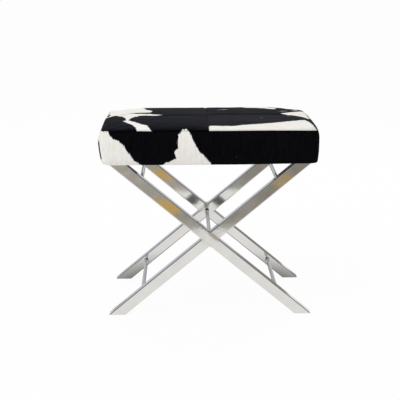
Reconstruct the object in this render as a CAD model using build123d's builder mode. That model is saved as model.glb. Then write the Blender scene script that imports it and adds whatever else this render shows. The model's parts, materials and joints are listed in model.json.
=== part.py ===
from build123d import *
import math
import os

# An ottoman: a boxed hide cushion on a welded frame of two steel X shapes and five rods.
# Millimetres. +X runs along the long side, +Y to the rear, +Z up. The origin is on the floor
# under the middle of the seat.

# Seat, overall
seat_width = 562.0
seat_depth = 430.0
seat_underside = 417.0
band_height = 85.0
crown_height = 9.0

# Seat, form of the cushion
seam_draw = 6.0
corner_radius = 13.0
least_radius = 2.0
crown_shoulder = 40.0
dome_sag = 2.4
# Height up the band, and how far the band lies inside its widest line
band_rise_shares = (0.0, 0.05, 0.20, 0.50, 0.75, 0.92, 1.0)
band_draw_shares = (0.85, 0.42, 0.22, 0.04, 0.0, 0.32, 1.0)
# Way in from the top seam over the rolled edge, and height up it; the dome cuts it off on top
crown_inset_shares = (0.0, 0.04, 0.13, 0.32, 1.0)
crown_rise_shares = (0.0, 0.28, 0.55, 0.80, 1.30)
# The outer form takes every level and the layers inside it every second one
outer_level_step = 1
inner_level_step = 2

# Seat, layers from the outside in
hide_thickness = 2.0
wadding_thickness = 8.0
layer_gap = 0.3
board_thickness = 15.0
board_edge_gap = 7.5
board_corner_radius = 10.0
board_edge_chamfer = 4.0
dust_cover_thickness = 0.8
dust_cover_edge_gap = 12.0
hem_width = 60.0
top_seam_x = -3.0
top_seam_y = 8.0

# Frame
leg_inset_x = 31.0
frame_inset_y = 35.0
tube_side = 28.6
tube_wall = 1.5
tube_corner_radius = 2.5
rod_radius = 5.0
rod_place_share = 0.724
weld_leg = 2.5

# Mounting plates on the leg tops
plate_thickness = 4.0
plate_margin_x = 2.0
plate_tab = 36.0
plate_corner_clip = 4.0
bolt_step = 18.0

# Feet
foot_cap_thickness = 1.8
foot_cap_corner_clip = 1.0
foot_cap_tip_chamfer = 0.8
glide_thickness = 1.2
glide_margin = 3.0

# Bolts, washers and tee nuts
bolt_radius = 4.0
bolt_length = 20.0
bolt_head_flats = 13.0
bolt_head_height = 5.3
bolt_head_chamfer = 0.8
plate_hole_radius = 4.5
cloth_hole_side = 9.0
washer_radius = 8.0
washer_bore_radius = 4.2
washer_thickness = 1.6
tee_nut_flange_radius = 11.0
tee_nut_flange_thickness = 1.5
tee_nut_barrel_radius = 5.0
tee_nut_barrel_length = 11.0
tee_nut_bore_radius = 4.05
prong_count = 3
prong_width = 3.0
prong_thickness = 1.0
prong_length = 7.0
fit_gap = 0.1

# Staples
staple_wire = 1.0
staple_crown = 10.0
staple_leg = 9.0
hide_staple_inset = 10.0
hide_staples_long_side = 6
hide_staples_short_side = 4
dust_staple_inset = 8.0
dust_staples_long_side = 4
dust_staples_short_side = 2
dust_staple_plate_gap = 20.0

# One overrun for every tool that cuts right through
overrun = 30.0

# Heights of the layers, from the floor up
plate_bottom = seat_underside - plate_thickness
hide_bottom = seat_underside + dust_cover_thickness
board_bottom = hide_bottom + hide_thickness
board_top = board_bottom + board_thickness
seam_height = hide_bottom + band_height

# The bars' line: through the crossing, from a foot's centre on the floor to the seat's underside
frame_depth = seat_depth - 2 * frame_inset_y
foot_centre_x = seat_width / 2 - leg_inset_x
crossing_height = seat_underside / 2
bar_half_length = math.hypot(foot_centre_x, crossing_height)
bar_sine = crossing_height / bar_half_length
bar_cosine = foot_centre_x / bar_half_length
bar_cut_length = tube_side / bar_sine
foot_cap_top = glide_thickness + foot_cap_thickness
glide_x = (crossing_height - glide_thickness) * foot_centre_x / crossing_height
rod_place_x = foot_centre_x * rod_place_share
rod_rise = crossing_height * rod_place_share
bar_row_y = frame_depth / 2 - tube_side / 2
rod_end_y = frame_depth / 2 - tube_side

# Mounting plates and their bolts
plate_centre_x = (plate_bottom - crossing_height) * foot_centre_x / crossing_height
plate_width = bar_cut_length + 2 * plate_margin_x
plate_depth = tube_side + plate_tab
plate_centre_y = frame_depth / 2 - plate_depth / 2
plate_inner_y = frame_depth / 2 - plate_depth
bolt_y = rod_end_y - bolt_step
bolt_spots = [
    (side_x * plate_centre_x, side_y * bolt_y)
    for side_x in (-1, 1)
    for side_y in (-1, 1)
]
washer_bottom = plate_bottom - washer_thickness

os.makedirs("parts", exist_ok=True)


# The frame

# A bar's section lies square to the bar, on a plane through the crossing. lean is 1 for the bar
# that rises to the right and -1 for the one that rises to the left.


def bar_plane(lean, row_y):
    return Plane(
        origin=(0, row_y, crossing_height),
        x_dir=(0, 1, 0),
        z_dir=(lean * bar_cosine, 0, bar_sine),
    )


def bar_side_plane(lean, row_y, side):
    out_x = -side * lean * bar_sine
    out_z = side * bar_cosine
    place = tube_side / 2
    return Plane(
        origin=(out_x * place, row_y, crossing_height + out_z * place),
        z_dir=(out_x, 0, out_z),
    )


def tube_bar(lean, row_y):
    with BuildPart() as tube:
        with BuildSketch(bar_plane(lean, row_y)):
            RectangleRounded(tube_side, tube_side, tube_corner_radius)
            Rectangle(
                tube_side - 2 * tube_wall,
                tube_side - 2 * tube_wall,
                mode=Mode.SUBTRACT,
            )
        extrude(amount=bar_half_length + overrun, both=True)
        split(bisect_by=Plane.XY.offset(foot_cap_top), keep=Keep.TOP)
        split(bisect_by=Plane.XY.offset(plate_bottom), keep=Keep.BOTTOM)
    return tube.part


# Each X has one whole bar and two half bars that butt against its sides. The rear X is the front
# one turned half round, so its whole bar leans the other way.
for row, row_y, whole_lean in (("front", -bar_row_y, -1), ("rear", bar_row_y, 1)):
    whole_tube = tube_bar(whole_lean, row_y)
    cut_tube = tube_bar(-whole_lean, row_y)

    with BuildPart() as long_bar:
        add(whole_tube)
    long_bar.part.label = f"{row}_long_bar"
    export_step(long_bar.part, f"parts/{row}_long_bar.step")

    with BuildPart() as upper_half_bar:
        add(cut_tube)
        split(bisect_by=bar_side_plane(whole_lean, row_y, 1), keep=Keep.TOP)
    upper_half_bar.part.label = f"{row}_upper_half_bar"
    export_step(upper_half_bar.part, f"parts/{row}_upper_half_bar.step")

    with BuildPart() as lower_half_bar:
        add(cut_tube)
        split(bisect_by=bar_side_plane(whole_lean, row_y, -1), keep=Keep.TOP)
    lower_half_bar.part.label = f"{row}_lower_half_bar"
    export_step(lower_half_bar.part, f"parts/{row}_lower_half_bar.step")


# The rods that tie the two X shapes, each with a small weld fillet at its ends
rod_places = {
    "centre_rod": (0, crossing_height),
    "upper_left_rod": (-rod_place_x, crossing_height + rod_rise),
    "upper_right_rod": (rod_place_x, crossing_height + rod_rise),
    "lower_left_rod": (-rod_place_x, crossing_height - rod_rise),
    "lower_right_rod": (rod_place_x, crossing_height - rod_rise),
}
for rod_name, (rod_x, rod_z) in rod_places.items():
    with BuildPart() as rod:
        with BuildSketch(Plane(origin=(rod_x, 0, rod_z), z_dir=(0, 0, 1))):
            with BuildLine():
                Polyline(
                    (0, -rod_end_y),
                    (rod_radius + weld_leg, -rod_end_y),
                    (rod_radius, -rod_end_y + weld_leg),
                    (rod_radius, rod_end_y - weld_leg),
                    (rod_radius + weld_leg, rod_end_y),
                    (0, rod_end_y),
                    close=True,
                )
            make_face()
        revolve(axis=Axis((rod_x, 0, rod_z), (0, 1, 0)))
    rod.part.label = rod_name
    export_step(rod.part, f"parts/{rod_name}.step")


# The pieces at each leg: a plate on its top, a cap on its foot and a glide under the cap
for row, side_y in (("front", -1), ("rear", 1)):
    for hand, side_x in (("left", -1), ("right", 1)):
        with BuildPart() as mounting_plate:
            with BuildSketch(Plane.XY.offset(plate_bottom)) as plate_outline:
                with Locations((side_x * plate_centre_x, side_y * plate_centre_y)):
                    Rectangle(plate_width, plate_depth)
                chamfer(plate_outline.vertices(), plate_corner_clip)
                with Locations(*bolt_spots):
                    Circle(plate_hole_radius, mode=Mode.SUBTRACT)
            extrude(amount=plate_thickness)
        plate_name = f"{row}_{hand}_mounting_plate"
        mounting_plate.part.label = plate_name
        export_step(mounting_plate.part, f"parts/{plate_name}.step")

        # The cap runs on along the bar, so its tip is sharp but for a small chamfer
        with BuildPart() as foot_cap:
            with BuildSketch(bar_plane(-side_x, side_y * bar_row_y)) as cap_outline:
                Rectangle(tube_side, tube_side)
                chamfer(cap_outline.vertices(), foot_cap_corner_clip)
            extrude(amount=-bar_half_length - overrun)
            split(bisect_by=Plane.XY.offset(foot_cap_top), keep=Keep.BOTTOM)
            split(bisect_by=Plane.XY.offset(glide_thickness), keep=Keep.TOP)
            cap_bottom = foot_cap.faces().sort_by(Axis.Z)[0]
            tip_edge = cap_bottom.edges().sort_by(Axis.X)[-1 if side_x > 0 else 0]
            chamfer(tip_edge, foot_cap_tip_chamfer)
        foot_cap_name = f"{row}_{hand}_foot_cap"
        foot_cap.part.label = foot_cap_name
        export_step(foot_cap.part, f"parts/{foot_cap_name}.step")

        with BuildPart() as glide:
            with BuildSketch(Plane.XY):
                with Locations((side_x * glide_x, side_y * bar_row_y)):
                    Rectangle(bar_cut_length - 2 * glide_margin, tube_side - 2 * glide_margin)
            extrude(amount=glide_thickness)
        glide_name = f"{row}_{hand}_glide"
        glide.part.label = glide_name
        export_step(glide.part, f"parts/{glide_name}.step")


# The bolts that hold the seat, with their washers and tee nuts

with BuildPart() as mounting_bolts:
    with BuildSketch(Plane.XY.offset(washer_bottom - bolt_head_height)):
        with Locations(*bolt_spots):
            RegularPolygon(bolt_head_flats / 2, 6, major_radius=False)
    extrude(amount=bolt_head_height)
    head_bottoms = mounting_bolts.faces().group_by(Axis.Z)[0]
    chamfer(head_bottoms.edges(), bolt_head_chamfer)
    with BuildSketch(Plane.XY.offset(washer_bottom)):
        with Locations(*bolt_spots):
            Circle(bolt_radius)
    extrude(amount=bolt_length)
mounting_bolts.part.label = "mounting_bolts"
export_step(mounting_bolts.part, "parts/mounting_bolts.step")

with BuildPart() as washers:
    with BuildSketch(Plane.XY.offset(washer_bottom)):
        with Locations(*bolt_spots):
            Circle(washer_radius)
            Circle(washer_bore_radius, mode=Mode.SUBTRACT)
    extrude(amount=washer_thickness)
washers.part.label = "washers"
export_step(washers.part, "parts/washers.step")

prong_place = tee_nut_flange_radius - prong_thickness
with BuildPart() as tee_nuts:
    with BuildSketch(Plane.XY.offset(board_top)):
        with Locations(*bolt_spots):
            Circle(tee_nut_flange_radius)
    extrude(amount=tee_nut_flange_thickness)
    with BuildSketch(Plane.XY.offset(board_top)):
        with Locations(*bolt_spots):
            Circle(tee_nut_barrel_radius)
    extrude(amount=-tee_nut_barrel_length)
    with BuildSketch(Plane.XY.offset(board_top)):
        with Locations(*bolt_spots):
            with PolarLocations(prong_place, prong_count):
                Rectangle(prong_thickness, prong_width)
    extrude(amount=-prong_length)
    with BuildSketch(Plane.XY.offset(board_top + tee_nut_flange_thickness)):
        with Locations(*bolt_spots):
            Circle(tee_nut_bore_radius)
    extrude(amount=-tee_nut_flange_thickness - tee_nut_barrel_length, mode=Mode.SUBTRACT)
tee_nuts.part.label = "tee_nuts"
export_step(tee_nuts.part, "parts/tee_nuts.step")


# The staples, as separate wires in two groups


def spread(count, span):
    return [span * (step / (count - 1) - 1 / 2) for step in range(count)]


def staple_spots(half_x, span_x, count_x, half_y, span_y, count_y, height):
    long_rows = [
        Location((x, side * half_y, height))
        for side in (-1, 1)
        for x in spread(count_x, span_x)
    ]
    short_rows = [
        Location((side * half_x, y, height), (0, 0, 90))
        for side in (-1, 1)
        for y in spread(count_y, span_y)
    ]
    return long_rows + short_rows


with BuildPart() as staple:
    with BuildSketch(Plane.XZ.offset(-staple_wire / 2)):
        Rectangle(staple_crown, staple_wire + staple_leg, align=(Align.CENTER, Align.MIN))
        with Locations((0, staple_wire)):
            Rectangle(
                staple_crown - 2 * staple_wire,
                staple_leg,
                align=(Align.CENTER, Align.MIN),
                mode=Mode.SUBTRACT,
            )
    extrude(amount=staple_wire)

hem_inner_x = seat_width / 2 - hem_width
hem_inner_y = seat_depth / 2 - hem_width
with BuildPart() as hide_staples:
    with Locations(
        *staple_spots(
            half_x=hem_inner_x + hide_staple_inset,
            span_x=2 * (hem_inner_x - staple_crown),
            count_x=hide_staples_long_side,
            half_y=hem_inner_y + hide_staple_inset,
            span_y=2 * (hem_inner_y - staple_crown),
            count_y=hide_staples_short_side,
            height=hide_bottom,
        )
    ):
        add(staple.part)
hide_staples.part.label = "hide_staples"
export_step(hide_staples.part, "parts/hide_staples.step")

dust_half_x = seat_width / 2 - dust_cover_edge_gap
dust_half_y = seat_depth / 2 - dust_cover_edge_gap
with BuildPart() as dust_cover_staples:
    with Locations(
        *staple_spots(
            half_x=dust_half_x - dust_staple_inset,
            span_x=2 * (dust_half_x - 2 * dust_staple_inset),
            count_x=dust_staples_long_side,
            half_y=dust_half_y - dust_staple_inset,
            span_y=2 * (plate_inner_y - dust_staple_plate_gap),
            count_y=dust_staples_short_side,
            height=seat_underside - staple_wire,
        )
    ):
        add(staple.part)
dust_cover_staples.part.label = "dust_cover_staples"
export_step(dust_cover_staples.part, "parts/dust_cover_staples.step")


# The seat

# The cushion's form, drawn in by inset on every face, above a flat bottom at floor_height. The
# band bulges, the seam draws in over it, an edge rolls over the seam and a low dome tops it off.


def section(height, draw, inset):
    with BuildSketch(Plane.XY.offset(height)) as level:
        RectangleRounded(
            seat_width - 2 * (draw + inset),
            seat_depth - 2 * (draw + inset),
            max(corner_radius - inset, least_radius),
        )
    return level.sketch


# An arc across the depth, swung over the width about an axis far below the seat
def dome_form(top):
    reach_x = seat_width / 2
    reach_y = seat_depth / 2
    swing_radius = (reach_x**2 + dome_sag**2) / (2 * dome_sag)
    swing_angle = math.degrees(2 * math.asin(reach_x / swing_radius))
    swing_axis = Axis((0, 0, top - swing_radius), (0, 1, 0))
    arc_start = (-reach_y, top - dome_sag)
    arc_end = (reach_y, top - dome_sag)
    base_height = top - crown_height - overrun
    with BuildPart() as dome:
        with BuildSketch(Plane.YZ):
            with BuildLine():
                ThreePointArc(arc_start, (0, top), arc_end)
                Polyline(arc_end, (reach_y, base_height), (-reach_y, base_height), arc_start)
            make_face()
        revolve(axis=swing_axis, revolution_arc=swing_angle)
    return dome.part.rotate(swing_axis, -swing_angle / 2)


def seat_form(inset, floor_height, level_step):
    inner_bottom = hide_bottom + inset
    inner_seam = seam_height - inset
    band_levels = [
        section(inner_bottom + rise * (inner_seam - inner_bottom), draw * seam_draw, inset)
        for rise, draw in zip(band_rise_shares[::level_step], band_draw_shares[::level_step])
    ]
    crown_levels = [
        section(inner_seam + rise * crown_height, seam_draw + way_in * crown_shoulder, inset)
        for way_in, rise in zip(
            crown_inset_shares[::level_step], crown_rise_shares[::level_step]
        )
    ]
    with BuildPart() as crown:
        loft(sections=crown_levels, ruled=True)
        add(dome_form(inner_seam + crown_height), mode=Mode.INTERSECT)
    with BuildPart() as form:
        loft(sections=band_levels, ruled=True)
        add(crown.part)
        if floor_height > inner_bottom:
            split(bisect_by=Plane.XY.offset(floor_height), keep=Keep.TOP)
    return form.part


wadding_inset = hide_thickness + layer_gap
foam_inset = wadding_inset + wadding_thickness
outer_form = seat_form(0, hide_bottom, outer_level_step)
under_hide_form = seat_form(hide_thickness, board_bottom, inner_level_step)
wadding_form = seat_form(wadding_inset, board_top, inner_level_step)
under_wadding_form = seat_form(foam_inset - layer_gap, board_top, inner_level_step)
foam_form = seat_form(foam_inset, board_top, inner_level_step)

# The whole hide cover, before it is cut into its eight sewn panels. Its hem turns under the board.
with BuildPart() as cover:
    add(outer_form)
    add(under_hide_form, mode=Mode.SUBTRACT)
    with BuildSketch(Plane.XY.offset(hide_bottom)):
        Rectangle(2 * hem_inner_x, 2 * hem_inner_y)
    extrude(amount=hide_thickness, mode=Mode.SUBTRACT)
    with BuildSketch(Plane.XY.offset(hide_bottom)):
        with Locations(*bolt_spots):
            Rectangle(cloth_hole_side, cloth_hole_side)
    extrude(amount=hide_thickness, mode=Mode.SUBTRACT)
    add(hide_staples.part, mode=Mode.SUBTRACT)
    add(dust_cover_staples.part, mode=Mode.SUBTRACT)

# Band panels meet at mitres through the seat's corners
mitre_x = (seat_width - seat_depth) / 2
cut_x = seat_width / 2 + overrun
cut_y = seat_depth / 2 + overrun
band_outlines = {
    "band_front": ((-mitre_x, 0), (mitre_x, 0), (cut_x, -cut_y), (-cut_x, -cut_y)),
    "band_rear": ((-mitre_x, 0), (mitre_x, 0), (cut_x, cut_y), (-cut_x, cut_y)),
    "band_left": ((-mitre_x, 0), (-cut_x, -cut_y), (-cut_x, cut_y)),
    "band_right": ((mitre_x, 0), (cut_x, -cut_y), (cut_x, cut_y)),
}
for panel_name, outline in band_outlines.items():
    with BuildPart() as band_panel:
        add(cover.part)
        with BuildSketch(Plane.XY.offset(hide_bottom)):
            with BuildLine():
                Polyline(*outline, close=True)
            make_face()
        extrude(amount=band_height, dir=(0, 0, 1), mode=Mode.INTERSECT)
    band_panel.part.label = panel_name
    export_step(band_panel.part, f"parts/{panel_name}.step")

# Top panels meet at a seam from front to back and a seam from side to side
for row, side_y in (("front", -1), ("rear", 1)):
    for hand, side_x in (("left", -1), ("right", 1)):
        with BuildPart() as top_panel:
            add(cover.part)
            with BuildSketch(Plane.XY.offset(seam_height)):
                with Locations((top_seam_x + side_x * cut_x, top_seam_y + side_y * cut_y)):
                    Rectangle(2 * cut_x, 2 * cut_y)
            extrude(amount=crown_height + overrun, mode=Mode.INTERSECT)
        panel_name = f"top_{row}_{hand}"
        top_panel.part.label = panel_name
        export_step(top_panel.part, f"parts/{panel_name}.step")

with BuildPart() as wadding:
    add(wadding_form)
    add(under_wadding_form, mode=Mode.SUBTRACT)
wadding.part.label = "wadding"
export_step(wadding.part, "parts/wadding.step")

with BuildPart() as foam_pad:
    add(foam_form)
    with BuildSketch(Plane.XY.offset(board_top)):
        with Locations(*bolt_spots):
            Circle(tee_nut_flange_radius + fit_gap)
    extrude(amount=tee_nut_flange_thickness + fit_gap, mode=Mode.SUBTRACT)
foam_pad.part.label = "foam_pad"
export_step(foam_pad.part, "parts/foam_pad.step")

with BuildPart() as seat_board:
    with BuildSketch(Plane.XY.offset(board_bottom)):
        RectangleRounded(
            seat_width - 2 * board_edge_gap,
            seat_depth - 2 * board_edge_gap,
            board_corner_radius,
        )
        with Locations(*bolt_spots):
            Circle(tee_nut_barrel_radius + fit_gap, mode=Mode.SUBTRACT)
    extrude(amount=board_thickness)
    board_face = seat_board.faces().sort_by(Axis.Z)[0]
    chamfer(board_face.outer_wire().edges(), board_edge_chamfer)
    add(tee_nuts.part, mode=Mode.SUBTRACT)
    add(hide_staples.part, mode=Mode.SUBTRACT)
    add(dust_cover_staples.part, mode=Mode.SUBTRACT)
seat_board.part.label = "seat_board"
export_step(seat_board.part, "parts/seat_board.step")

with BuildPart() as dust_cover:
    with BuildSketch(Plane.XY.offset(seat_underside)):
        Rectangle(2 * dust_half_x, 2 * dust_half_y)
        with Locations(*bolt_spots):
            Rectangle(cloth_hole_side, cloth_hole_side, mode=Mode.SUBTRACT)
    extrude(amount=dust_cover_thickness)
    add(dust_cover_staples.part, mode=Mode.SUBTRACT)
dust_cover.part.label = "dust_cover"
export_step(dust_cover.part, "parts/dust_cover.step")
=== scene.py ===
import json
import math

import bmesh
import bpy
import numpy as np
from mathutils import Matrix, Vector


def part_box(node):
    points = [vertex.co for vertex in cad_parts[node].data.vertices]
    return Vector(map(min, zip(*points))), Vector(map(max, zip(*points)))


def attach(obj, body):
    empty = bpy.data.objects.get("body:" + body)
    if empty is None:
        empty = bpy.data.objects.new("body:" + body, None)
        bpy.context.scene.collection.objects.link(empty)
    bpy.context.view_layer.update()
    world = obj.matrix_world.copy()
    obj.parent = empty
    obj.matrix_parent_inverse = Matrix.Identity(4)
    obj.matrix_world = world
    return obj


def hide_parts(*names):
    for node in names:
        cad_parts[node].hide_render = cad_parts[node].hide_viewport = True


# The looks of the ottoman, in metres, in the CAD model's own frame: +X along the long side,
# +Y to the rear, +Z up, with the origin on the floor under the middle of the seat.

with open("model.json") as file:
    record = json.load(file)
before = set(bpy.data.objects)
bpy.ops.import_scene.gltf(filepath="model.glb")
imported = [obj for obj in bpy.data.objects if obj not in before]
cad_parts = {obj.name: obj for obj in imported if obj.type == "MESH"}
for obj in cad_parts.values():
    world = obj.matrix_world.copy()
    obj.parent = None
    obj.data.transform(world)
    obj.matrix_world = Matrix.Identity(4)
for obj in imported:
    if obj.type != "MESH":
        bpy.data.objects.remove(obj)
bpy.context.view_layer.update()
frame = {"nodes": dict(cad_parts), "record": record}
nodes = frame["nodes"]
MM = 0.001

# Places taken from the CAD model
SEAT_HALF_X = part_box("band_right")[1][0]
SEAT_HALF_Y = -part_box("band_front")[0][1]
HEM_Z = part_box("band_front")[0][2]
SEAM_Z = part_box("band_front")[1][2]
CROWN_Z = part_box("top_front_left")[1][2]
SEAM_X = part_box("top_front_left")[1][0]
SEAM_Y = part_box("top_front_left")[1][1]
CLOTH_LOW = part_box("dust_cover")[0]
CLOTH_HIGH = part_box("dust_cover")[1]
BOARD_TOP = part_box("seat_board")[1][2]
CROSSING_Z = (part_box("centre_rod")[0][2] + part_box("centre_rod")[1][2]) / 2
TUBE_HALF = (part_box("front_long_bar")[1][1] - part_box("front_long_bar")[0][1]) / 2
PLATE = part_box("front_right_mounting_plate")
LEAN = math.atan2(PLATE[0][2] - CROSSING_Z, (PLATE[0][0] + PLATE[1][0]) / 2)

# The cushion's sizes
SEAM_DRAW = 6 * MM
CORNER_RADIUS = 13 * MM
LEAST_RADIUS, LEAST_HEM_RADIUS = 2 * MM, 0.5 * MM
HEM_WIDTH = 60 * MM
WIDEST_SHARE = 0.72
BULGE_DRAW, BULGE_POWER = 2.2 * MM, 1.6
BOTTOM_ROLL_DRAW = 3.6 * MM
BOTTOM_ROLL_SHARE = 0.12
CROWN_ROLL = 18 * MM
DOME_SAG = 2.4 * MM

# The cushion's layers: how thick they are and how far they are drawn in
HIDE_THICKNESS = 1.8 * MM
WADDING_INSET, WADDING_THICKNESS = 3.8 * MM, 7.4 * MM
FOAM_INSET = 11.5 * MM

# The cushion's grid: small steps beside a seam, growing to the coarse one further in
FINE_STEPS = np.cumsum([0, 1.2, 1.5, 2.0, 2.7, 3.6, 4.8, 6.0]) * MM
COARSE_STEP, BAND_STEP, LAYER_STEP = 7 * MM, 6 * MM, 16 * MM
HEM_RINGS = 7

# How the stuffing has settled. The sides bow out between the corners and the left one leans out,
# all of it less near the hem, where the board holds the cover.
RIGHT_BOW = 7 * MM
LEFT_BOW, LEFT_LEAN, LEFT_BULGE = 3 * MM, 3 * MM, 3 * MM
BULGE_PLACE_SHARE, BULGE_REACH_SHARE = 0.68, 0.32
SIDE_START_SHARE = 0.45
HEM_FREE_SHARE, HELD_HEIGHT_SHARE = 0.35, 0.35
# The rolled edge under the band sags below the board, but not over the frame's plates, which end
# well inside the front and 10 mm inside the sides. It sags less to the right and at the corners.
BOTTOM_SAG = 3.6 * MM
SAG_HEIGHT = 26 * MM
SAG_INSIDE_Y, SAG_INSIDE_X = (10 * MM, 27 * MM), (4 * MM, 11 * MM)
RIGHT_SAG_LOSS, RIGHT_SAG_SPAN = 0.55, (60 * MM, 250 * MM)
CORNER_SAG_LOSS, CORNER_SAG_REACH = 0.75, 26 * MM
# How far the crown falls at a corner and from how far off, and the same for the edge at a rear
# one, which takes the upper band with it
CORNER_FALL, CORNER_REACH = 3.5 * MM, 45 * MM
REAR_FALL, REAR_REACH = 11 * MM, 27 * MM
REAR_FALL_SPAN = (-48 * MM, -2 * MM)
TOP_RISE = 5 * MM
# The seam across the top was sewn a little off its line, from this place to the right
SEAM_DRIFT, DRIFT_REACH, DRIFT_START = 12 * MM, 70 * MM, -150 * MM

# The hide's relief. Each wave in the stuffing has its length, its seed and its height.
STUFFING_WAVES = ((130 * MM, 3, 0.8 * MM), (48 * MM, 8, 0.2 * MM))
HEM_FLAT, TOP_BLEND = 8 * MM, 6 * MM
VALLEY_DEPTH, VALLEY_REACH = 1.5 * MM, 3.0 * MM
DIMPLE_DEPTH, DIMPLE_REACH = 0.5 * MM, 26 * MM
TUCK_DEPTH, TUCK_REACH, TUCK_START = 1.3 * MM, 2.6 * MM, 8 * MM
SEAM_SHADE, SEAM_SHADE_RISE = 4.4 * MM, 1 * MM

# How the hide is blown out between its seams
PUFF_FRAMES, PUFF_CAP = 20, 3.5 * MM
PUFF_SETTINGS = {
    "quality": 5,
    "mass": 0.3,
    "tension_stiffness": 30,
    "compression_stiffness": 30,
    "shear_stiffness": 12,
    "bending_stiffness": 2,
    "use_pressure": True,
    "uniform_pressure_force": 4,
}

# Smooth waves: how many are added up, and their lengths as shares of the size asked for
WAVE_COUNT = 9
WAVE_SHARES = (0.7, 1.6)

# The cloth under the seat, which sags and waves by these mm away from its staples and the plates
CLOTH_THICKNESS, CLOTH_LIFT = 0.5 * MM, 0.65 * MM
CLOTH_POINTS = (108, 82)
EDGE_HELD, EDGE_SLACK = 12 * MM, 60 * MM
PLATE_HELD, PLATE_SLACK = 3 * MM, 40 * MM
CLOTH_SAG, CLOTH_WAVE, CLOTH_WAVE_SIZE, CLOTH_SEED = 1.2, 0.7, 90 * MM, 5

# The welds at the crossing of each X
BAR_CORNER = 2.5 * MM
WELD_SKIN = 0.05 * MM
NOTCH_WELD, NOTCH_ROOT = 5 * MM, 5 * MM
NOTCH_ROWS, NOTCH_STEPS = 15, 8
STRIP_ROWS, STRIP_END = 33, 0.3 * MM
STRIP_SWELL, STRIP_RIPPLE, STRIP_WAVES = 0.05 * MM, 0.02 * MM, 9
SHARP = math.radians(35)
# A strip's section: the way out over the joint, and the height as a share of its swell
STRIP_SECTION = (
    (-4.2 * MM, -0.4),
    (-2.6 * MM, 0.7),
    (-1.0 * MM, 1.0),
    (0.6 * MM, 0.7),
    (2.2 * MM, -0.4),
    (0.0, -24.0),
    (-2.4 * MM, -24.0),
)


# Geometry helpers


def add_object(name, data):
    obj = bpy.data.objects.new(name, data)
    bpy.context.scene.collection.objects.link(obj)
    return obj


def new_object(name, verts, faces, smooth=True):
    mesh = bpy.data.meshes.new(name)
    mesh.from_pydata([tuple(v) for v in verts], [], [tuple(f) for f in faces])
    mesh.validate()
    mesh.polygons.foreach_set("use_smooth", [smooth] * len(mesh.polygons))
    return add_object(name, mesh)


def vectors(items, name):
    flat = np.empty(len(items) * 3)
    items.foreach_get(name, flat)
    return flat.reshape(-1, 3)


def points_of(mesh):
    return vectors(mesh.vertices, "co")


def set_points(mesh, points):
    mesh.vertices.foreach_set("co", np.asarray(points, float).ravel())
    mesh.update()


def set_attribute(mesh, name, kind, domain, values):
    attribute = mesh.attributes.new(name, kind, domain)
    attribute.data.foreach_set("value", values)


def apply_modifiers(obj):
    bpy.context.view_layer.update()
    evaluated = obj.evaluated_get(bpy.context.evaluated_depsgraph_get())
    mesh = bpy.data.meshes.new_from_object(evaluated)
    obj.modifiers.clear()
    old = obj.data
    obj.data = mesh
    bpy.data.meshes.remove(old)


def thicken(obj, thickness, offset=-1):
    """Makes a skin solid: inward with offset -1, to both sides with 0."""
    thick = obj.modifiers.new("thickness", "SOLIDIFY")
    thick.thickness = thickness
    thick.offset = offset
    apply_modifiers(obj)


def smooth_step(value, low, high):
    t = np.clip((value - low) / (high - low), 0, 1)
    return t * t * (3 - 2 * t)


def bell(distance, reach):
    return np.exp(-((distance / reach) ** 2))


def waves(points, size, seed):
    """Smooth waves between -1 and 1 over the points, always the same for one seed."""
    draw = np.random.default_rng(seed)
    total = np.zeros(len(points))
    for _ in range(WAVE_COUNT):
        direction = draw.normal(size=3)
        direction /= np.linalg.norm(direction)
        pitch = size * draw.uniform(*WAVE_SHARES)
        total += np.sin(points @ direction * 2 * math.pi / pitch + draw.uniform(0, 2 * math.pi))
    return total / (WAVE_COUNT / 2)


# The cushion's form


def spaced(low, high, coarse=COARSE_STEP):
    """Places from low to high, close together at both ends."""
    middle_low, middle_high = low + FINE_STEPS[-1], high - FINE_STEPS[-1]
    count = max(int(math.ceil((middle_high - middle_low) / coarse)), 2)
    middle = np.linspace(middle_low, middle_high, count + 1)
    return np.concatenate([low + FINE_STEPS[:-1], middle, (high - FINE_STEPS[:-1])[::-1]])


def rounded(x, y, half_x, half_y, radius):
    """Moves points of a square-cornered rectangle onto one with round corners."""
    s = np.clip((np.abs(x) - (half_x - radius)) / radius, 0, 1)
    t = np.clip((np.abs(y) - (half_y - radius)) / radius, 0, 1)
    in_corner = (s > 0) & (t > 0)
    round_x = half_x - radius + radius * s * np.sqrt(1 - t**2 / 2)
    round_y = half_y - radius + radius * t * np.sqrt(1 - s**2 / 2)
    new_x = np.where(in_corner, np.sign(x) * round_x, x)
    new_y = np.where(in_corner, np.sign(y) * round_y, y)
    return new_x, new_y


def edge_distance(x, y, half_x, half_y, radius):
    """How far a point lies inside the rounded rectangle's edge."""
    past_x = np.abs(x) - half_x + radius
    past_y = np.abs(y) - half_y + radius
    outside = np.hypot(np.maximum(past_x, 0), np.maximum(past_y, 0))
    return radius - outside - np.minimum(np.maximum(past_x, past_y), 0)


def band_draw(share):
    """How far the band lies inside its widest line, at a share of its height."""
    above = np.clip((share - WIDEST_SHARE) / (1 - WIDEST_SHARE), 0, 1)
    below = np.clip((WIDEST_SHARE - share) / WIDEST_SHARE, 0, 1)
    roll = np.clip((BOTTOM_ROLL_SHARE - share) / BOTTOM_ROLL_SHARE, 0, 1)
    top = SEAM_DRAW * (1 - np.sqrt(1 - above**2))
    bottom = BULGE_DRAW * below**BULGE_POWER + BOTTOM_ROLL_DRAW * (1 - np.sqrt(1 - roll**2))
    return top + bottom


def crown_rise(x, y, half_x, half_y, radius):
    """How far the top stands over its edge seam."""
    dome = CROWN_Z - SEAM_Z - DOME_SAG * ((x / SEAT_HALF_X) ** 2 + (y / SEAT_HALF_Y) ** 2)
    way = np.clip(edge_distance(x, y, half_x, half_y, radius) / CROWN_ROLL, 0, 1)
    return dome * np.sqrt(1 - (1 - way) ** 2)


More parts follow.
